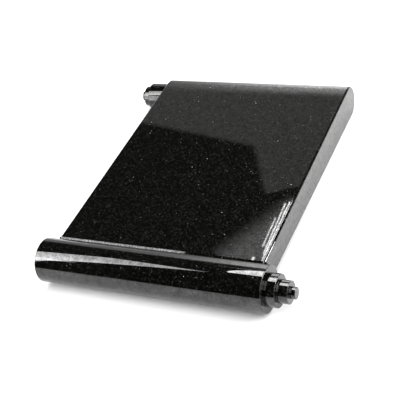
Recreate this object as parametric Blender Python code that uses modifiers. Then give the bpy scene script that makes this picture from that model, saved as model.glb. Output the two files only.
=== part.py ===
"""Scroll memorial in polished black granite, lying on its own weight.

A flat tablet runs from a turned roll at the front to a rounded back edge. A stepped finial stands
on the right-hand end of the roll, and another on the left side of the back edge.
Metres, +Z up. +Y runs from the roll to the back edge, +X to the right as seen from the front.
The origin is at the middle of the underside of the whole piece's bounding box.
"""
import math

import bmesh
import bpy

# Tablet
TABLET_WIDTH = 0.270
BACK_RADIUS = 0.0215
AXIS_SPACING = 0.3515
UNDERSIDE_TAPER = math.radians(2.0)
TABLET_ARRIS = 0.0008

# Front roll
ROLL_RADIUS = 0.027
ROLL_OVERHANG = 0.0105
ROLL_ARRIS = 0.0008

# Finials, each a stack of discs from the seat outwards
FRONT_DISC_RADII = (0.0190, 0.0132, 0.0070)
FRONT_DISC_LENGTHS = (0.0125, 0.0125, 0.0065)
REAR_DISC_RADII = (0.0190, 0.0144, 0.0070)
REAR_DISC_LENGTHS = (0.0270, 0.0090, 0.0065)
REAR_FINIAL_FORWARD = 0.0025
FLOOR_CLEARANCE = 0.0005
FINIAL_ARRIS = 0.0006

# Fit between pieces that are bonded face to face
JOINT_GAP = 0.0003

# Fineness of the round surfaces
BACK_STEPS = 32
ROLL_STEPS = 96
FINIAL_STEPS = 64
ARRIS_SEGMENTS = 2
SHARP_ANGLE = math.radians(30.0)
WELD_DISTANCE = 0.00001

# Polished stone
GRANITE_COLOUR = (0.012, 0.012, 0.013, 1.0)
TABLET_ROUGHNESS = 0.08
TURNED_ROUGHNESS = 0.10


def clear_scene():
    for found in list(bpy.data.objects):
        bpy.data.objects.remove(found, do_unlink=True)


def new_collection(name):
    made = bpy.data.collections.new(name)
    bpy.context.scene.collection.children.link(made)
    return made


def granite(name, roughness):
    """Black granite, with a polish of the given roughness."""
    made = bpy.data.materials.new(name)
    made.use_nodes = True
    shader = made.node_tree.nodes["Principled BSDF"]
    shader.inputs["Base Color"].default_value = GRANITE_COLOUR
    shader.inputs["Roughness"].default_value = roughness
    shader.inputs["Metallic"].default_value = 0.0
    return made


def shade_round(mesh):
    mesh.shade_smooth()
    mesh.set_sharp_from_angle(angle=SHARP_ANGLE)


def arc_points(centre, radius, start, end, steps):
    """Points on an arc from one angle to another, both ends included."""
    points = []
    for step in range(steps + 1):
        angle = start + (end - start) * step / steps
        points.append((centre[0] + radius * math.cos(angle), centre[1] + radius * math.sin(angle)))
    return points


def tablet_outline():
    """Side outline in Y and Z: level top, round back edge, underside rising to the roll's axis."""
    back = (AXIS_SPACING, BACK_RADIUS)
    bottom = -math.pi / 2
    tangent = bottom - UNDERSIDE_TAPER
    points = [(0.0, 2 * BACK_RADIUS)]
    points += arc_points(back, BACK_RADIUS, math.pi / 2, bottom, BACK_STEPS)
    points += arc_points(back, BACK_RADIUS, tangent, tangent, 1)[:1]
    underside_y, underside_z = points[-1]
    points.append((0.0, underside_z + underside_y * math.tan(UNDERSIDE_TAPER)))
    return points


def slab_from_outline(name, outline, width, collection):
    """A closed outline in Y and Z, made solid to both sides of X zero."""
    curve = bpy.data.curves.new(name + "_outline", "CURVE")
    curve.dimensions = "2D"
    curve.fill_mode = "BOTH"
    curve.extrude = width / 2
    spline = curve.splines.new("POLY")
    spline.points.add(len(outline) - 1)
    for point, (y, z) in zip(spline.points, outline):
        point.co = (y, z, 0.0, 1.0)
    spline.use_cyclic_u = True
    drawn = bpy.data.objects.new(name + "_outline", curve)
    drawn.rotation_euler = (math.pi / 2, 0.0, math.pi / 2)
    collection.objects.link(drawn)
    bpy.context.view_layer.update()
    evaluated = drawn.evaluated_get(bpy.context.evaluated_depsgraph_get())
    mesh = bpy.data.meshes.new_from_object(evaluated)
    mesh.name = name
    shape = bmesh.new()
    shape.from_mesh(mesh)
    bmesh.ops.remove_doubles(shape, verts=shape.verts, dist=WELD_DISTANCE)
    bmesh.ops.recalc_face_normals(shape, faces=shape.faces)
    shape.to_mesh(mesh)
    shape.free()
    slab = bpy.data.objects.new(name, mesh)
    slab.matrix_world = drawn.matrix_world
    collection.objects.link(slab)
    bpy.data.objects.remove(drawn, do_unlink=True)
    return slab


def add_arris(piece, width):
    """A fine rounded arris along the edges that turn sharply."""
    bevel = piece.modifiers.new("arris", "BEVEL")
    bevel.width = width
    bevel.segments = ARRIS_SEGMENTS
    bevel.limit_method = "ANGLE"
    bevel.angle_limit = SHARP_ANGLE


def cove_cutter(collection):
    """A cylinder on the roll's axis, larger than the roll by the joint gap."""
    radius = ROLL_RADIUS + JOINT_GAP
    length = TABLET_WIDTH + 2 * ROLL_OVERHANG
    shape = bmesh.new()
    bmesh.ops.create_cone(
        shape, cap_ends=True, segments=ROLL_STEPS, radius1=radius, radius2=radius, depth=length
    )
    mesh = bpy.data.meshes.new("roll_cove")
    shape.to_mesh(mesh)
    shape.free()
    cutter = bpy.data.objects.new("roll_cove", mesh)
    cutter.rotation_euler = (0.0, math.pi / 2, 0.0)
    cutter.location = (0.0, 0.0, ROLL_RADIUS)
    cutter.hide_render = True
    cutter.display_type = "WIRE"
    collection.objects.link(cutter)
    return cutter


def turned_piece(name, profile, steps, collection):
    """A profile of radius and height, from its top on the axis to its bottom, turned about Z."""
    mesh = bpy.data.meshes.new(name)
    shape = bmesh.new()
    corners = [shape.verts.new((radius, 0.0, height)) for radius, height in profile]
    for above, below in zip(corners, corners[1:]):
        shape.edges.new((above, below))
    shape.to_mesh(mesh)
    shape.free()
    piece = bpy.data.objects.new(name, mesh)
    screw = piece.modifiers.new("turning", "SCREW")
    screw.angle = 2 * math.pi
    screw.steps = steps
    screw.render_steps = steps
    screw.use_merge_vertices = True
    screw.merge_threshold = WELD_DISTANCE
    screw.use_smooth_shade = False
    collection.objects.link(piece)
    return piece


def disc_stack_profile(radii, lengths, arris):
    """Top to bottom profile of discs stacked on a seat at height zero, widest at the seat."""
    height = sum(lengths)
    profile = [(0.0, height)]
    for radius, length in zip(reversed(radii), reversed(lengths)):
        profile.append((radius - arris, height))
        profile.append((radius, height - arris))
        height -= length
        profile.append((radius, height))
    profile.append((0.0, 0.0))
    return profile


def roll_profile():
    """Top to bottom profile of the roll, with an arris at both ends."""
    half = TABLET_WIDTH / 2 + ROLL_OVERHANG
    return [
        (0.0, half),
        (ROLL_RADIUS - ROLL_ARRIS, half),
        (ROLL_RADIUS, half - ROLL_ARRIS),
        (ROLL_RADIUS, ROLL_ARRIS - half),
        (ROLL_RADIUS - ROLL_ARRIS, -half),
        (0.0, -half),
    ]


def make_tablet(collection, cutters):
    tablet = slab_from_outline("tablet", tablet_outline(), TABLET_WIDTH, collection)
    shade_round(tablet.data)
    add_arris(tablet, TABLET_ARRIS)
    cut = tablet.modifiers.new("cove for the roll", "BOOLEAN")
    cut.operation = "DIFFERENCE"
    cut.solver = "EXACT"
    cut.object = cove_cutter(cutters)
    tablet.data.materials.append(granite("polished_granite_tablet", TABLET_ROUGHNESS))
    return tablet, cut.object


def make_roll(collection):
    roll = turned_piece("front_roll", roll_profile(), ROLL_STEPS, collection)
    roll.rotation_euler = (0.0, math.pi / 2, 0.0)
    roll.location = (0.0, 0.0, ROLL_RADIUS)
    roll.data.materials.append(granite("polished_granite_roll", TURNED_ROUGHNESS))
    return roll


def make_front_finial(collection):
    """Stands on the right-hand end of the roll, pointing along +X."""
    profile = disc_stack_profile(FRONT_DISC_RADII, FRONT_DISC_LENGTHS, FINIAL_ARRIS)
    finial = turned_piece("front_finial", profile, FINIAL_STEPS, collection)
    seat = TABLET_WIDTH / 2 + ROLL_OVERHANG + JOINT_GAP
    finial.rotation_euler = (0.0, math.pi / 2, 0.0)
    finial.location = (seat, 0.0, ROLL_RADIUS)
    finial.data.materials.append(granite("polished_granite_front_finial", TURNED_ROUGHNESS))
    return finial


def make_rear_finial(collection):
    """Stands on the left side of the tablet, pointing along -X, just clear of the ground."""
    profile = disc_stack_profile(REAR_DISC_RADII, REAR_DISC_LENGTHS, FINIAL_ARRIS)
    finial = turned_piece("rear_finial", profile, FINIAL_STEPS, collection)
    seat = TABLET_WIDTH / 2 + JOINT_GAP
    finial.rotation_euler = (0.0, -math.pi / 2, 0.0)
    height = REAR_DISC_RADII[0] + FLOOR_CLEARANCE
    finial.location = (-seat, AXIS_SPACING - REAR_FINIAL_FORWARD, height)
    finial.data.materials.append(granite("polished_granite_rear_finial", TURNED_ROUGHNESS))
    return finial


def centre_on_origin(pieces):
    """Parent the pieces to an empty that brings the middle of their box over the origin."""
    right = TABLET_WIDTH / 2 + ROLL_OVERHANG + JOINT_GAP + sum(FRONT_DISC_LENGTHS)
    left = TABLET_WIDTH / 2 + JOINT_GAP + sum(REAR_DISC_LENGTHS)
    length = ROLL_RADIUS + AXIS_SPACING + BACK_RADIUS
    centre = bpy.data.objects.new("memorial_frame", None)
    centre.location = ((left - right) / 2, ROLL_RADIUS - length / 2, 0.0)
    pieces[0].users_collection[0].objects.link(centre)
    for piece in pieces:
        piece.parent = centre


def main():
    clear_scene()
    memorial = new_collection("scroll_memorial")
    cutters = new_collection("cutters")
    tablet, cutter = make_tablet(memorial, cutters)
    roll = make_roll(memorial)
    front_finial = make_front_finial(memorial)
    rear_finial = make_rear_finial(memorial)
    centre_on_origin([tablet, roll, front_finial, rear_finial, cutter])


main()
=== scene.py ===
"""Scroll memorial in polished black granite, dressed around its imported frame.

A flat tablet runs from a turned roll at the front to a rounded back edge. A stepped finial stands
on the right-hand end of the roll, and another on the left side of the back edge.
Laid out as an add-on: each operator makes one piece or the stage, from the settings in its panel.
Metres, +Z up. +Y runs from the roll to the back edge, +X to the right as seen from the front.
"""
import math

import bmesh
import bpy
from mathutils import Matrix, Vector


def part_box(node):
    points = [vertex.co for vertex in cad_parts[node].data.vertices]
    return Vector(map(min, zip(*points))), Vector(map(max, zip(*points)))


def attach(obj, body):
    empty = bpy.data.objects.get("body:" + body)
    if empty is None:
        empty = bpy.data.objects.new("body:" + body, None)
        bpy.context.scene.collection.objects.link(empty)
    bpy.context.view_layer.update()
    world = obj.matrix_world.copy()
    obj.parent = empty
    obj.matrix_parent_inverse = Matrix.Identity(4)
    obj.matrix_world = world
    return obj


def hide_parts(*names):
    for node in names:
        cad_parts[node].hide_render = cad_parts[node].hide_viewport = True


bl_info = {
    "name": "Scroll memorial",
    "version": (1, 0, 0),
    "blender": (4, 5, 0),
    "location": "3D View > Sidebar > Memorial",
    "description": "Makes a scroll memorial in polished black granite, and a stage to show it on",
    "category": "Add Mesh",
}

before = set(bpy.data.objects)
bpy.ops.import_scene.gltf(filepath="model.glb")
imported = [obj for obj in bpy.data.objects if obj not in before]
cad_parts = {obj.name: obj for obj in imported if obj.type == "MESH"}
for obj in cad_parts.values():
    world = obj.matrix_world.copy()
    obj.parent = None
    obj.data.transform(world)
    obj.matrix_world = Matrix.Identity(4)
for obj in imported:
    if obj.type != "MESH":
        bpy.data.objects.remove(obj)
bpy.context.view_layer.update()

# The body that every piece rides on
BODY = "root"

# Edges that turn by more than this are arrises
SHARP_ANGLE = math.radians(30.0)
WELD_DISTANCE = 0.00001

# Segments of a rounded arris, and of the finest arrises and fillets
ARRIS_SEGMENTS = 4
FINE_SEGMENTS = 2

# Share of a grain's width over which it fades into the ground
GRAIN_EDGE = 0.1

# The greater this is, the fewer crystals are pale
PALE_RARITY = 8.0

# Refractive index of polished granite
GRANITE_IOR = 1.55

# Nearly all the values of a noise pattern lie between these
NOISE_LOW = 0.3
NOISE_HIGH = 0.7

# Scale of a turned piece's waves across its axis, so small that they run round it as rings
RING_STRETCH = 0.03

# Strength of the dark walls all round
DARK_WALLS = 0.02

# Height of the ceiling lamps over the floor, and the direction of the wall behind the piece,
# to the left of straight back
CEILING = 1.54
WALL_BEARING = math.radians(27.0)

# The dark corner at the dim wall's upper left, by shares of the wall's width and of its height from
# the top: how steeply its foot rises to the right, where the soft line of its foot starts and ends,
# and where the soft line of its right-hand side starts and ends
CORNER_SLOPE = 1.387
CORNER_FOOT = (1.065, 1.105)
CORNER_SIDE = (0.53, 0.545)

# Lamp tubes that show as fine streaks at the tablet's right front: X and Y, turn in degrees, width
# and length, and radiance
TUBES = (
    (-0.6705, 1.400, 0.0, (0.0060, 0.330), 24.0),
    (-0.6805, 1.395, 0.3, (0.0040, 0.320), 20.0),
    (-0.6905, 1.415, 2.0, (0.0045, 0.260), 15.0),
    (-0.7030, 1.390, 2.0, (0.0045, 0.150), 12.0),
    (-0.7130, 1.252, 0.0, (0.0090, 0.026), 13.0),
)

# Sizes that come from the frame
TABLET_LOW, TABLET_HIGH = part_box("tablet")
ROLL_LOW, ROLL_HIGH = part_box("front_roll")
FRONT_FINIAL_LOW, FRONT_FINIAL_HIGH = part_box("front_finial")
REAR_FINIAL_LOW, REAR_FINIAL_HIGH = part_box("rear_finial")
BACK_RADIUS = (TABLET_HIGH.z - TABLET_LOW.z) / 2
ROLL_RADIUS = (ROLL_HIGH.z - ROLL_LOW.z) / 2


def linear(code):
    """The linear colour of an sRGB hex code."""
    channels = [int(code[place:place + 2], 16) / 255 for place in (1, 3, 5)]
    return [c / 12.92 if c <= 0.04045 else ((c + 0.055) / 1.055) ** 2.4 for c in channels]


class TabletSettings(bpy.types.PropertyGroup):
    """Sizes of the flat tablet."""

    arris: bpy.props.FloatProperty(
        name="Arris",
        description="Width of the rounded arris along the sides",
        default=0.0026,
        min=0.0001,
        unit="LENGTH",
        subtype="DISTANCE",
    )
    cove_arris: bpy.props.FloatProperty(
        name="Cove arris",
        description="Width of the fine arris where the tablet meets the roll",
        default=0.0003,
        min=0.00005,
        unit="LENGTH",
        subtype="DISTANCE",
    )
    joint_gap: bpy.props.FloatProperty(
        name="Joint",
        description="Width of the bonded joint between the tablet and the roll",
        default=0.0003,
        min=0.0001,
        unit="LENGTH",
        subtype="DISTANCE",
    )
    underside_taper: bpy.props.FloatProperty(
        name="Underside taper",
        description="Angle at which the underside rises towards the roll",
        default=math.radians(2.0),
        unit="ROTATION",
        subtype="ANGLE",
    )
    rounding_steps: bpy.props.IntProperty(
        name="Rounding steps",
        description="Facets around the half-round back edge",
        default=96,
        min=16,
    )


class TurnedSettings(bpy.types.PropertyGroup):
    """Sizes of the roll and the two finials."""

    roll_arris: bpy.props.FloatProperty(
        name="Roll arris",
        description="Width of the rounded arris at both ends of the roll",
        default=0.0008,
        min=0.0001,
        unit="LENGTH",
        subtype="DISTANCE",
    )
    disc_arris: bpy.props.FloatProperty(
        name="Disc arris",
        description="Width of the rounded arris on each disc of a finial",
        default=0.0006,
        min=0.0001,
        unit="LENGTH",
        subtype="DISTANCE",
    )
    disc_fillet: bpy.props.FloatProperty(
        name="Disc fillet",
        description="Width of the fillet where one disc steps down to the next",
        default=0.0003,
        min=0.00005,
        unit="LENGTH",
        subtype="DISTANCE",
    )
    front_radii: bpy.props.FloatVectorProperty(
        name="Front finial radii",
        description="Radii of the front finial's discs, from the roll outwards",
        default=(0.0190, 0.0132, 0.0070),
        unit="LENGTH",
    )
    front_lengths: bpy.props.FloatVectorProperty(
        name="Front finial lengths",
        description="Lengths of the front finial's discs, from the roll outwards",
        default=(0.0125, 0.0125, 0.0065),
        unit="LENGTH",
    )
    rear_radii: bpy.props.FloatVectorProperty(
        name="Rear finial radii",
        description="Radii of the rear finial's discs, from the tablet outwards",
        default=(0.0190, 0.0144, 0.0070),
        unit="LENGTH",
    )
    rear_lengths: bpy.props.FloatVectorProperty(
        name="Rear finial lengths",
        description="Lengths of the rear finial's discs, from the tablet outwards",
        default=(0.0270, 0.0090, 0.0065),
        unit="LENGTH",
    )
    turning_steps: bpy.props.IntProperty(
        name="Turning steps",
        description="Facets around the roll and the finials",
        default=192,
        min=32,
    )


class GraniteSettings(bpy.types.PropertyGroup):
    """Colours and grain of the stone."""

    ground: bpy.props.FloatVectorProperty(
        name="Ground",
        description="Colour of the black ground between the grains",
        default=linear("#020202"),
        size=3,
        subtype="COLOR",
    )
    cloud: bpy.props.FloatVectorProperty(
        name="Cloud",
        description="Colour of the greyer patches of the ground",
        default=linear("#040404"),
        size=3,
        subtype="COLOR",
    )
    crystal: bpy.props.FloatVectorProperty(
        name="Crystal",
        description="Colour of the palest crystals of the dense mosaic",
        default=linear("#22221d"),
        size=3,
        subtype="COLOR",
    )
    grain: bpy.props.FloatVectorProperty(
        name="Grain",
        description="Colour of the small grey grains",
        default=linear("#4c4d49"),
        size=3,
        subtype="COLOR",
    )
    fleck: bpy.props.FloatVectorProperty(
        name="Fleck",
        description="Colour of the larger pale flecks",
        default=linear("#90908b"),
        size=3,
        subtype="COLOR",
    )
    cloud_size: bpy.props.FloatProperty(
        name="Cloud size",
        description="Size of the greyer patches of the ground",
        default=0.022,
        unit="LENGTH",
        subtype="DISTANCE",
    )
    crystal_size: bpy.props.FloatProperty(
        name="Crystal size",
        description="Size of the crystals of the dense mosaic",
        default=0.0012,
        unit="LENGTH",
        subtype="DISTANCE",
    )
    grain_spacing: bpy.props.FloatProperty(
        name="Grain spacing",
        description="Spacing of the small grey grains",
        default=0.0022,
        unit="LENGTH",
        subtype="DISTANCE",
    )
    grain_width: bpy.props.FloatProperty(
        name="Grain width",
        description="Width of the widest grey grain",
        default=0.0013,
        unit="LENGTH",
        subtype="DISTANCE",
    )
    grain_share: bpy.props.FloatProperty(
        name="Grain share",
        description="Share of the places that hold a grey grain",
        default=0.25,
        subtype="FACTOR",
    )
    fleck_spacing: bpy.props.FloatProperty(
        name="Fleck spacing",
        description="Spacing of the pale flecks",
        default=0.0045,
        unit="LENGTH",
        subtype="DISTANCE",
    )
    fleck_width: bpy.props.FloatProperty(
        name="Fleck width",
        description="Width of the widest pale fleck",
        default=0.0015,
        unit="LENGTH",
        subtype="DISTANCE",
    )
    fleck_share: bpy.props.FloatProperty(
        name="Fleck share",
        description="Share of the places that hold a pale fleck",
        default=0.2,
        subtype="FACTOR",
    )
    flat_shine: bpy.props.FloatProperty(
        name="Flat shine",
        description="How much more or less than the average a crystal mirrors on the flat tablet",
        default=0.6,
        subtype="FACTOR",
    )
    turned_shine: bpy.props.FloatProperty(
        name="Turned shine",
        description="How much more or less than the average a crystal mirrors on the turned pieces",
        default=0.3,
        subtype="FACTOR",
    )
    patch_size: bpy.props.FloatProperty(
        name="Patch size",
        description="Size of the patches that mirror a little more or less",
        default=0.007,
        unit="LENGTH",
        subtype="DISTANCE",
    )
    patch_spread: bpy.props.FloatProperty(
        name="Patch spread",
        description="How much more or less than the average a patch mirrors",
        default=0.25,
        subtype="FACTOR",
    )
    wave_length: bpy.props.FloatProperty(
        name="Wave length",
        description="Length of the waves that flat polishing leaves",
        default=0.035,
        unit="LENGTH",
        subtype="DISTANCE",
    )
    wave_depth: bpy.props.FloatProperty(
        name="Wave depth",
        description="Depth of the waves that flat polishing leaves",
        default=0.000012,
        unit="LENGTH",
        subtype="DISTANCE",
    )
    ring_spacing: bpy.props.FloatProperty(
        name="Ring spacing",
        description="Spacing of the rings that turning leaves",
        default=0.003,
        unit="LENGTH",
        subtype="DISTANCE",
    )
    ring_depth: bpy.props.FloatProperty(
        name="Ring depth",
        description="Depth of the rings that turning leaves",
        default=0.000001,
        unit="LENGTH",
        subtype="DISTANCE",
    )
    polish: bpy.props.FloatProperty(
        name="Polish",
        description="Roughness of the polished ground",
        default=0.02,
        min=0.0,
        max=1.0,
        subtype="FACTOR",
    )
    grain_polish: bpy.props.FloatProperty(
        name="Grain polish",
        description="Roughness of the brightest grains, which take the polish less well",
        default=0.35,
        min=0.0,
        max=1.0,
        subtype="FACTOR",
    )


class StageSettings(bpy.types.PropertyGroup):
    """Floor, light and camera."""

    floor_colour: bpy.props.FloatVectorProperty(
        name="Floor",
        description="Colour of the plain floor",
        default=linear("#e9e9e9"),
        size=3,
        subtype="COLOR",
    )
    floor_size: bpy.props.FloatProperty(
        name="Floor size",
        description="Side of the square floor",
        default=30.0,
        unit="LENGTH",
        subtype="DISTANCE",
    )
    camera_place: bpy.props.FloatVectorProperty(
        name="Camera",
        description="Where the camera stands",
        default=(0.5223, -0.8215, 0.7647),
        unit="LENGTH",
        subtype="TRANSLATION",
    )
    camera_turn: bpy.props.FloatProperty(
        name="Turn",
        description="How far the camera turns to the left of straight back",
        default=math.radians(33.505),
        unit="ROTATION",
        subtype="ANGLE",
    )
    camera_dip: bpy.props.FloatProperty(
        name="Dip",
        description="How far the camera looks down",
        default=math.radians(38.304),
        unit="ROTATION",
        subtype="ANGLE",
    )
    camera_roll: bpy.props.FloatProperty(
        name="Roll",
        description="How far the camera is rolled about its own line of sight",
        default=math.radians(-16.868),
        unit="ROTATION",
        subtype="ANGLE",
    )
    focal_length: bpy.props.FloatProperty(
        name="Focal length",
        description="Focal length on a 36 mm sensor",
        default=86.65,
        unit="CAMERA",
    )


def add_node(tree, kind, values=None, links=None, **properties):
    """Adds a node to a tree, sets its properties and sockets, and links other nodes' outputs to it."""
    node = tree.nodes.new(kind)
    for name, value in properties.items():
        setattr(node, name, value)
    for socket, value in (values or {}).items():
        node.inputs[socket].default_value = value
    for socket, output in (links or {}).items():
        tree.links.new(output, node.inputs[socket])
    return node


def new_tree(owner):
    """The owner's node tree, emptied."""
    owner.use_nodes = True
    owner.node_tree.nodes.clear()
    return owner.node_tree


def crystals(tree, place, spacing):
    """Cells at a spacing: how far a point is from its cell's middle, and the cell's own chances."""
    cells = add_node(
        tree,
        "ShaderNodeTexVoronoi",
        {"Scale": 1 / spacing, "Randomness": 1.0},
        {"Vector": place},
    )
    chance = add_node(tree, "ShaderNodeSeparateColor", links={"Color": cells.outputs["Color"]})
    return cells.outputs["Distance"], chance.outputs


def mixed(tree, share, under, tone):
    """A share of a tone mixed into the colour under it."""
    return add_node(
        tree,
        "ShaderNodeMix",
        {"B": (*tone, 1.0)},
        {"Factor": share, "A": under},
        data_type="RGBA",
    ).outputs["Result"]


def grain_layer(tree, place, under, tone, spacing, width, share):
    """Scatters grains of a tone over the colour under them.

    The width is that of the widest grain, and the share is that of the cells that hold a grain.
    Each grain has its own width and brightness. Returns the colour and how far each grain shows.
    """
    distance, chance = crystals(tree, place, spacing)
    radius = add_node(
        tree,
        "ShaderNodeMapRange",
        {"From Min": 1 - share, "From Max": 1.0, "To Min": 0.0, "To Max": width / spacing / 2},
        {"Value": chance["Red"]},
    )
    inside = add_node(
        tree,
        "ShaderNodeMath",
        links={0: radius.outputs["Result"], 1: distance},
        operation="SUBTRACT",
    )
    mask = add_node(
        tree,
        "ShaderNodeMapRange",
        {"From Min": 0.0, "From Max": GRAIN_EDGE * width / spacing},
        {"Value": inside.outputs[0]},
    )
    shown = add_node(
        tree,
        "ShaderNodeMath",
        links={0: mask.outputs["Result"], 1: chance["Green"]},
        operation="MULTIPLY",
    ).outputs[0]
    return mixed(tree, shown, under, tone), shown


def mineral_shine(tree, place, chance, spread, settings):
    """How much each spot mirrors, where 0.5 is the average."""
    crystal = add_node(
        tree,
        "ShaderNodeMapRange",
        {"To Min": (1 - spread) / 2, "To Max": (1 + spread) / 2},
        {"Value": chance},
    )
    patches = add_node(
        tree,
        "ShaderNodeTexNoise",
        {"Scale": 1 / settings.patch_size, "Detail": 2.0, "Roughness": 0.6},
        {"Vector": place},
    )
    patch = add_node(
        tree,
        "ShaderNodeMapRange",
        {
            "From Min": NOISE_LOW,
            "From Max": NOISE_HIGH,
            "To Min": 1 - settings.patch_spread,
            "To Max": 1 + settings.patch_spread,
        },
        {"Value": patches.outputs["Fac"]},
    )
    return add_node(
        tree,
        "ShaderNodeMath",
        links={0: crystal.outputs["Result"], 1: patch.outputs["Result"]},
        operation="MULTIPLY",
    ).outputs[0]


def polish_waves(tree, place, stretch, length, depth):
    """Normals over the waves that polishing leaves, longer along the axes where stretch is small."""
    stretched = add_node(
        tree, "ShaderNodeVectorMath", {1: stretch}, {0: place}, operation="MULTIPLY"
    )
    waves = add_node(
        tree,
        "ShaderNodeTexNoise",
        {"Scale": 1 / length, "Detail": 1.0},
        {"Vector": stretched.outputs["Vector"]},
    )
    bump = add_node(
        tree, "ShaderNodeBump", {"Strength": 1.0, "Distance": depth}, {"Height": waves.outputs["Fac"]}
    )
    return bump.outputs["Normal"]


def granite(name, settings, shine, stretch, wave_length, wave_depth):
    """Black granite polished to a mirror, with the waves that its polishing left."""
    # To the eye it is a black mirror with fine grey specks that shine less than the ground does.
    # The real crystals and grains are about half a millimetre wide, too fine to show from the
    # camera, so they are drawn two to three times as coarse.
    made = bpy.data.materials.new(name)
    tree = new_tree(made)
    place = add_node(tree, "ShaderNodeTexCoord").outputs["Object"]

    # Slightly greyer clouds, so that the black reads as stone and not as paint
    clouds = add_node(
        tree,
        "ShaderNodeTexNoise",
        {"Scale": 1 / settings.cloud_size, "Detail": 4.0, "Roughness": 0.6},
        {"Vector": place},
    )
    ground = add_node(
        tree,
        "ShaderNodeMix",
        {"A": (*settings.ground, 1.0), "B": (*settings.cloud, 1.0)},
        {"Factor": clouds.outputs["Fac"]},
        data_type="RGBA",
    ).outputs["Result"]

    # A dense mosaic of dark crystals, few of them pale, gives the even dotted grain
    _, chance = crystals(tree, place, settings.crystal_size)
    pale = add_node(
        tree, "ShaderNodeMath", {1: PALE_RARITY}, {0: chance["Red"]}, operation="POWER"
    )
    colour = mixed(tree, pale.outputs[0], ground, settings.crystal)

    # Grey grains and rare pale flecks are the specks that stand out one by one
    colour, grain = grain_layer(
        tree,
        place,
        colour,
        settings.grain,
        settings.grain_spacing,
        settings.grain_width,
        settings.grain_share,
    )
    colour, fleck = grain_layer(
        tree,
        place,
        colour,
        settings.fleck,
        settings.fleck_spacing,
        settings.fleck_width,
        settings.fleck_share,
    )

    # Specks take the polish less well, so they stay visible where the stone mirrors a lamp
    specks = add_node(tree, "ShaderNodeMath", links={0: grain, 1: fleck}, operation="MAXIMUM")
    roughness = add_node(
        tree,
        "ShaderNodeMapRange",
        {"To Min": settings.polish, "To Max": settings.grain_polish},
        {"Value": specks.outputs[0]},
    )

    # Uneven shine makes the reflections grainy, and the waves bend their straight edges a little
    shader = add_node(
        tree,
        "ShaderNodeBsdfPrincipled",
        {"IOR": GRANITE_IOR, "Metallic": 0.0},
        {
            "Base Color": colour,
            "Roughness": roughness.outputs["Result"],
            "Specular IOR Level": mineral_shine(tree, place, chance["Blue"], shine, settings),
            "Normal": polish_waves(tree, place, stretch, wave_length, wave_depth),
        },
    )
    add_node(tree, "ShaderNodeOutputMaterial", links={"Surface": shader.outputs["BSDF"]})
    return made


def flat_granite(settings):
    """The stone of the tablet, ground flat and then polished."""
    # Long shallow waves make the straight edges in its reflections waver a little
    return granite(
        "mirror_polished_black_granite",
        settings,
        settings.flat_shine,
        (1.0, 1.0, 1.0),
        settings.wave_length,
        settings.wave_depth,
    )


def turned_granite(settings):
    """The stone of the roll and the finials, turned on a lathe and then polished."""
    # Faint rings around X break the edges of the long highlights
    return granite(
        "lathe_polished_black_granite",
        settings,
        settings.turned_shine,
        (1.0, RING_STRETCH, RING_STRETCH),
        settings.ring_spacing,
        settings.ring_depth,
    )


def finish_piece(shape, name, node, material):
    """Makes a piece of a bmesh, puts it in the scene, and sets it on its body for its CAD node."""
    bmesh.ops.remove_doubles(shape, verts=shape.verts, dist=WELD_DISTANCE)
    bmesh.ops.recalc_face_normals(shape, faces=shape.faces)
    mesh = bpy.data.meshes.new(name)
    shape.to_mesh(mesh)
    shape.free()
    mesh.shade_smooth()
    mesh.set_sharp_from_angle(angle=SHARP_ANGLE)
    mesh.materials.append(material)
    piece = bpy.data.objects.new(name, mesh)
    bpy.context.scene.collection.objects.link(piece)
    weighting = piece.modifiers.new("flat faces stay flat", "WEIGHTED_NORMAL")
    weighting.keep_sharp = True
    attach(piece, BODY)
    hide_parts(node)


def arc(shape, start, centre, angle, steps):
    """A wire from a start point, spun about X through a centre, as its first and last vertices."""
    first = shape.verts.new(start)
    spun = bmesh.ops.spin(
        shape, geom=[first], cent=centre, axis=(1, 0, 0), angle=angle, steps=steps
    )
    last = [part for part in spun["geom_last"] if isinstance(part, bmesh.types.BMVert)][0]
    return first, last


def sharp_edges(shape):
    """Edges between faces that turn sharply, as those that stand out and those that step in."""
    sharp = [e for e in shape.edges if e.is_manifold and e.calc_face_angle() > SHARP_ANGLE]
    return [e for e in sharp if e.is_convex], [e for e in sharp if not e.is_convex]


def round_over(shape, edges, width, segments):
    """Rounds edges over a width on each side."""
    bmesh.ops.bevel(
        shape,
        geom=edges,
        offset=width,
        segments=segments,
        profile=0.5,
        affect="EDGES",
        material=-1,
    )


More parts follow.
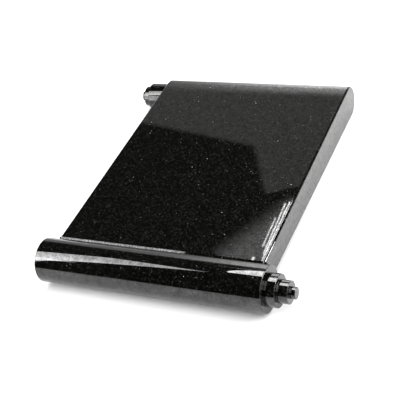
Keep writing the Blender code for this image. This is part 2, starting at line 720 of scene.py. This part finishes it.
class MEMORIAL_OT_tablet(bpy.types.Operator):
    """Make the tablet, one flat slab with a half-round back edge and a cove for the roll"""

    bl_idname = "memorial.tablet"
    bl_label = "Tablet"

    def execute(self, context):
        sizes = context.scene.memorial_tablet
        side = TABLET_LOW.x
        back_axis = Vector((side, TABLET_HIGH.y - BACK_RADIUS, BACK_RADIUS))
        roll_axis = Vector((side, (ROLL_LOW.y + ROLL_HIGH.y) / 2, ROLL_RADIUS))
        cove_radius = ROLL_RADIUS + sizes.joint_gap
        top_angle = math.asin((TABLET_HIGH.z - roll_axis.z) / cove_radius)
        slope = math.tan(sizes.underside_taper)
        tangent = -math.pi / 2 - sizes.underside_taper
        underside = back_axis + BACK_RADIUS * Vector((0, math.cos(tangent), math.sin(tangent)))
        drop = roll_axis.z - underside.z - slope * (underside.y - roll_axis.y)
        bottom_angle = sizes.underside_taper + math.asin(
            drop * math.cos(sizes.underside_taper) / cove_radius
        )
        cove_top = roll_axis + cove_radius * Vector((0, math.cos(top_angle), math.sin(top_angle)))
        shape = bmesh.new()
        top_back, bottom_back = arc(
            shape,
            back_axis + Vector((0, 0, BACK_RADIUS)),
            back_axis,
            -math.pi - sizes.underside_taper,
            sizes.rounding_steps,
        )
        top_front, bottom_front = arc(
            shape, cove_top, roll_axis, -top_angle - bottom_angle, sizes.rounding_steps // 2
        )
        shape.edges.new((top_front, top_back))
        shape.edges.new((bottom_front, bottom_back))
        side_face = bmesh.ops.contextual_create(shape, geom=shape.edges)["faces"]
        grown = bmesh.ops.extrude_face_region(shape, geom=side_face)["geom"]
        bmesh.ops.translate(
            shape,
            verts=[part for part in grown if isinstance(part, bmesh.types.BMVert)],
            vec=(TABLET_HIGH.x - TABLET_LOW.x, 0, 0),
        )
        bmesh.ops.recalc_face_normals(shape, faces=shape.faces)
        edges, _ = sharp_edges(shape)
        across = [e for e in edges if abs(e.verts[0].co.x - e.verts[1].co.x) > sizes.arris]
        round_over(shape, across, sizes.cove_arris, FINE_SEGMENTS)
        around, _ = sharp_edges(shape)
        round_over(shape, around, sizes.arris, ARRIS_SEGMENTS)
        material = flat_granite(context.scene.memorial_granite)
        finish_piece(shape, "polished_tablet", "tablet", material)
        return {"FINISHED"}


def turned(shape, profile, steps):
    """Spins a profile of radius and height, from its top on the axis to its foot, about Z."""
    corners = [shape.verts.new((radius, 0, height)) for radius, height in profile]
    wires = [shape.edges.new(pair) for pair in zip(corners, corners[1:])]
    bmesh.ops.spin(
        shape,
        geom=corners + wires,
        cent=(0, 0, 0),
        axis=(0, 0, 1),
        angle=2 * math.pi,
        steps=steps,
        use_merge=True,
    )
    bmesh.ops.remove_doubles(shape, verts=shape.verts, dist=WELD_DISTANCE)
    bmesh.ops.recalc_face_normals(shape, faces=shape.faces)


class MEMORIAL_OT_roll(bpy.types.Operator):
    """Make the roll, one cylinder across the front"""

    bl_idname = "memorial.roll"
    bl_label = "Roll"

    def execute(self, context):
        sizes = context.scene.memorial_turned
        length = ROLL_HIGH.x - ROLL_LOW.x
        shape = bmesh.new()
        bmesh.ops.create_cone(
            shape,
            cap_ends=True,
            segments=sizes.turning_steps,
            radius1=ROLL_RADIUS,
            radius2=ROLL_RADIUS,
            depth=length,
            matrix=Matrix.Rotation(math.pi / 2, 4, "Y"),
        )
        rims, _ = sharp_edges(shape)
        round_over(shape, rims, sizes.roll_arris, ARRIS_SEGMENTS)
        bmesh.ops.translate(shape, verts=shape.verts, vec=(ROLL_LOW + ROLL_HIGH) / 2)
        material = turned_granite(context.scene.memorial_granite)
        finish_piece(shape, "polished_roll", "front_roll", material)
        return {"FINISHED"}


def make_finial(sizes, material, name, node, radii, lengths, seat, turn):
    """A stack of discs from a seat, with arrises on the rims and fillets at the steps."""
    height = sum(lengths)
    profile = [(0, height)]
    for radius, length in zip(reversed(radii), reversed(lengths)):
        profile.append((radius, height))
        height -= length
        profile.append((radius, height))
    profile.append((0, 0))
    shape = bmesh.new()
    turned(shape, profile, sizes.turning_steps)
    rims, _ = sharp_edges(shape)
    above_seat = [e for e in rims if max(v.co.z for v in e.verts) > WELD_DISTANCE]
    round_over(shape, above_seat, sizes.disc_arris, ARRIS_SEGMENTS)
    _, steps = sharp_edges(shape)
    round_over(shape, steps, sizes.disc_fillet, FINE_SEGMENTS)
    place = Matrix.Translation(seat) @ Matrix.Rotation(turn, 4, "Y")
    bmesh.ops.transform(shape, matrix=place, verts=shape.verts)
    finish_piece(shape, name, node, material)


class MEMORIAL_OT_finials(bpy.types.Operator):
    """Make the two stepped finials, at the front right and the rear left"""

    bl_idname = "memorial.finials"
    bl_label = "Finials"

    def execute(self, context):
        sizes = context.scene.memorial_turned
        material = turned_granite(context.scene.memorial_granite)
        front = (FRONT_FINIAL_LOW + FRONT_FINIAL_HIGH) / 2
        front.x = FRONT_FINIAL_LOW.x
        rear = (REAR_FINIAL_LOW + REAR_FINIAL_HIGH) / 2
        rear.x = REAR_FINIAL_HIGH.x
        make_finial(
            sizes,
            material,
            "front_stepped_finial",
            "front_finial",
            sizes.front_radii,
            sizes.front_lengths,
            front,
            math.pi / 2,
        )
        make_finial(
            sizes,
            material,
            "rear_stepped_finial",
            "rear_finial",
            sizes.rear_radii,
            sizes.rear_lengths,
            rear,
            -math.pi / 2,
        )
        return {"FINISHED"}


def make_floor(settings):
    """A plain floor of studio paper."""
    shape = bmesh.new()
    bmesh.ops.create_grid(shape, x_segments=1, y_segments=1, size=settings.floor_size / 2)
    mesh = bpy.data.meshes.new("studio_floor")
    shape.to_mesh(mesh)
    shape.free()

    # Smooth matt paper: a plain white ground on which the eye sees the soft shadow alone
    made = bpy.data.materials.new("matt_studio_paper")
    tree = new_tree(made)
    shader = add_node(
        tree,
        "ShaderNodeBsdfPrincipled",
        {"Base Color": (*settings.floor_colour, 1.0), "Roughness": 0.9, "Specular IOR Level": 0.0},
    )
    add_node(tree, "ShaderNodeOutputMaterial", links={"Surface": shader.outputs["BSDF"]})
    mesh.materials.append(made)
    floor = bpy.data.objects.new("studio_floor", mesh)
    bpy.context.scene.collection.objects.link(floor)


def make_softbox(name, place, size, radiance):
    """A rectangular softbox that shines along its own -Z, at an even radiance."""
    lamp = bpy.data.lights.new(name, "AREA")
    lamp.shape = "RECTANGLE"
    lamp.size = size[0]
    lamp.size_y = size[1]
    lamp.energy = radiance * math.pi * size[0] * size[1]
    box = bpy.data.objects.new(name, lamp)
    box.matrix_world = place
    box.visible_camera = False
    bpy.context.scene.collection.objects.link(box)
    return lamp


def step(tree, value, start, end, low=0.0):
    """A smooth step from low to one, as a value runs from a start to an end."""
    return add_node(
        tree,
        "ShaderNodeMapRange",
        {"From Min": start, "From Max": end, "To Min": low, "To Max": 1.0},
        {"Value": value},
        interpolation_type="SMOOTHSTEP",
    ).outputs["Result"]


def across_lamp(lamp):
    """The lamp's node tree, and how far along its own X and Y a ray lands, both from zero to one."""
    tree = new_tree(lamp)
    place = add_node(tree, "ShaderNodeNewGeometry").outputs["Parametric"]
    parts = add_node(tree, "ShaderNodeSeparateXYZ", links={"Vector": place})
    return tree, parts.outputs["X"], parts.outputs["Y"]


def shade_lamp(tree, strength):
    """Makes a lamp shine by a share of its radiance that varies over it."""
    glow = add_node(tree, "ShaderNodeEmission", links={"Strength": strength})
    add_node(tree, "ShaderNodeOutputLight", links={"Surface": glow.outputs["Emission"]})


def overhead(x, y, height, turn=0.0):
    """A place above the piece, facing down and turned about the vertical."""
    return Matrix.Translation((x, y, height)) @ Matrix.Rotation(turn, 4, "Z")


def aimed(place, target):
    """A place from which a softbox faces a target."""
    place = Vector(place)
    turn = (place - Vector(target)).to_track_quat("Z", "Y").to_matrix().to_4x4()
    return Matrix.Translation(place) @ turn


def behind(distance, across, height, lean=0.0):
    """A place at the wall behind the piece, facing it, where the lamp's own Y points down."""
    return (
        Matrix.Rotation(WALL_BEARING, 4, "Z")
        @ Matrix.Translation((across, distance, height))
        @ Matrix.Rotation(-lean, 4, "Y")
        @ Matrix.Rotation(-math.pi / 2, 4, "X")
    )


def make_lights():
    """Three softboxes light the floor, and the other lamps show in the polish."""
    # Lights the floor from above, and leaves a narrow shadow in front of the roll
    make_softbox(
        "overhead_softbox",
        place=overhead(x=0.35, y=-0.35, height=1.5),
        size=(0.9, 0.9),
        radiance=6.5,
    )

    # Lights the floor on the right, which the tablet's side mirrors
    make_softbox(
        "right_softbox",
        place=aimed(place=(0.9, 0.3, 0.35), target=(0.2, 0.1, 0.0)),
        size=(0.5, 0.3),
        radiance=48.0,
    )

    # Lights the floor in front, right up to the roll
    make_softbox(
        "front_softbox",
        place=aimed(place=(0.5, -1.7, 2.0), target=(0.0, -0.2, 0.0)),
        size=(1.4, 1.4),
        radiance=4.0,
    )

    # Shows as the short wedge near the right-hand end of the roll
    make_softbox(
        "back_strip",
        place=overhead(x=-0.429, y=0.71, height=CEILING, turn=math.radians(6.0)),
        size=(0.38, 0.98),
        radiance=14.0,
    )

    # Show as streaks at the tablet's right front, in a faint glow
    for x, y, turn, size, radiance in TUBES:
        make_softbox(
            "tube",
            place=overhead(x, y, height=CEILING, turn=math.radians(turn)),
            size=size,
            radiance=radiance,
        )
    glow = make_softbox(
        "tube_glow",
        place=overhead(x=-0.724, y=1.398, height=CEILING + 0.005, turn=math.radians(-30.0)),
        size=(0.2, 0.37),
        radiance=1.1,
    )
    tree, across, _ = across_lamp(glow)
    shade_lamp(tree, step(tree, across, start=0.0, end=0.6))

    # Shows as the long wedge on the left of the roll
    strip = make_softbox(
        "left_strip",
        place=overhead(x=-1.44, y=-1.13, height=CEILING, turn=math.radians(58.8)),
        size=(2.6, 0.38),
        radiance=12.5,
    )
    tree, along, _ = across_lamp(strip)
    shade_lamp(tree, step(tree, along, start=0.95, end=0.55, low=0.5))

    # Shows on the left-hand end of the roll and on the rear finial
    make_softbox(
        "left_card",
        place=aimed(place=(-0.66, -0.51, 0.3), target=(-0.15, 0.17, 0.3)),
        size=(0.333, 0.59),
        radiance=6.0,
    )
    make_back_card()
    make_dim_wall()


def make_back_card():
    """A card behind the piece, which shows on the back rounding and along the back of the roll."""
    card = make_softbox(
        "back_card",
        place=behind(distance=0.92, across=0.104, height=0.272, lean=math.radians(18.3)),
        size=(0.96, 0.56),
        radiance=4.2,
    )
    tree, across, down = across_lamp(card)
    sideways = step(tree, across, start=0.28, end=0.75, low=0.17)
    top_edge = step(tree, down, start=0.0, end=0.08)
    both = add_node(
        tree, "ShaderNodeMath", links={0: sideways, 1: top_edge}, operation="MULTIPLY"
    )
    shade_lamp(tree, both.outputs[0])


def make_dim_wall():
    """A dim wall above the back card, with a dark corner at its upper left whose foot slants."""
    wall = make_softbox(
        "dim_wall",
        place=behind(distance=0.93, across=0.0, height=0.63),
        size=(1.1, 0.46),
        radiance=0.36,
    )
    tree, across, down = across_lamp(wall)
    slant = add_node(
        tree, "ShaderNodeMath", {1: CORNER_SLOPE}, {0: across, 2: down}, operation="MULTIPLY_ADD"
    )
    below = step(tree, slant.outputs[0], *CORNER_FOOT)
    beside = step(tree, across, *CORNER_SIDE)
    lit = add_node(tree, "ShaderNodeMath", links={0: below, 1: beside}, operation="MAXIMUM")
    shade_lamp(tree, lit.outputs[0])


def make_world():
    """Dark studio walls all round."""
    world = bpy.data.worlds.new("studio_walls")
    bpy.context.scene.world = world
    tree = new_tree(world)
    sky = add_node(
        tree, "ShaderNodeBackground", {"Color": (1.0, 1.0, 1.0, 1.0), "Strength": DARK_WALLS}
    )
    add_node(tree, "ShaderNodeOutputWorld", links={"Surface": sky.outputs["Background"]})


def make_camera(settings):
    """The camera, level at first, then turned, dipped and rolled."""
    data = bpy.data.cameras.new("camera")
    data.lens = settings.focal_length
    camera = bpy.data.objects.new("camera", data)
    camera.matrix_world = (
        Matrix.Translation(settings.camera_place)
        @ Matrix.Rotation(settings.camera_turn, 4, "Z")
        @ Matrix.Rotation(math.pi / 2 - settings.camera_dip, 4, "X")
        @ Matrix.Rotation(settings.camera_roll, 4, "Z")
    )
    bpy.context.scene.collection.objects.link(camera)
    bpy.context.scene.camera = camera


class MEMORIAL_OT_stage(bpy.types.Operator):
    """Make the plain floor, the soft studio light and the camera"""

    bl_idname = "memorial.stage"
    bl_label = "Stage"

    def execute(self, context):
        settings = context.scene.memorial_stage
        make_floor(settings)
        make_world()
        make_lights()
        make_camera(settings)
        context.scene.view_settings.view_transform = "Standard"
        return {"FINISHED"}


class MEMORIAL_PT_panel(bpy.types.Panel):
    """Lists the operators in the order that they are used"""

    bl_idname = "MEMORIAL_PT_panel"
    bl_label = "Scroll memorial"
    bl_space_type = "VIEW_3D"
    bl_region_type = "UI"
    bl_category = "Memorial"

    def draw(self, context):
        for operator in OPERATORS:
            self.layout.operator(operator.bl_idname)
        for group in SETTINGS:
            column = self.layout.column()
            values = getattr(context.scene, group)
            for name in values.bl_rna.properties.keys():
                if name not in ("name", "rna_type"):
                    column.prop(values, name)


OPERATORS = (MEMORIAL_OT_tablet, MEMORIAL_OT_roll, MEMORIAL_OT_finials, MEMORIAL_OT_stage)
SETTINGS = {
    "memorial_tablet": TabletSettings,
    "memorial_turned": TurnedSettings,
    "memorial_granite": GraniteSettings,
    "memorial_stage": StageSettings,
}


def register():
    for made in (*SETTINGS.values(), *OPERATORS, MEMORIAL_PT_panel):
        bpy.utils.register_class(made)
    for name, group in SETTINGS.items():
        setattr(bpy.types.Scene, name, bpy.props.PointerProperty(type=group))


def unregister():
    for name in SETTINGS:
        delattr(bpy.types.Scene, name)
    for made in (MEMORIAL_PT_panel, *OPERATORS, *SETTINGS.values()):
        bpy.utils.unregister_class(made)


def main():
    register()
    bpy.ops.memorial.tablet()
    bpy.ops.memorial.roll()
    bpy.ops.memorial.finials()
    bpy.ops.memorial.stage()


if __name__ == "__main__":
    main()
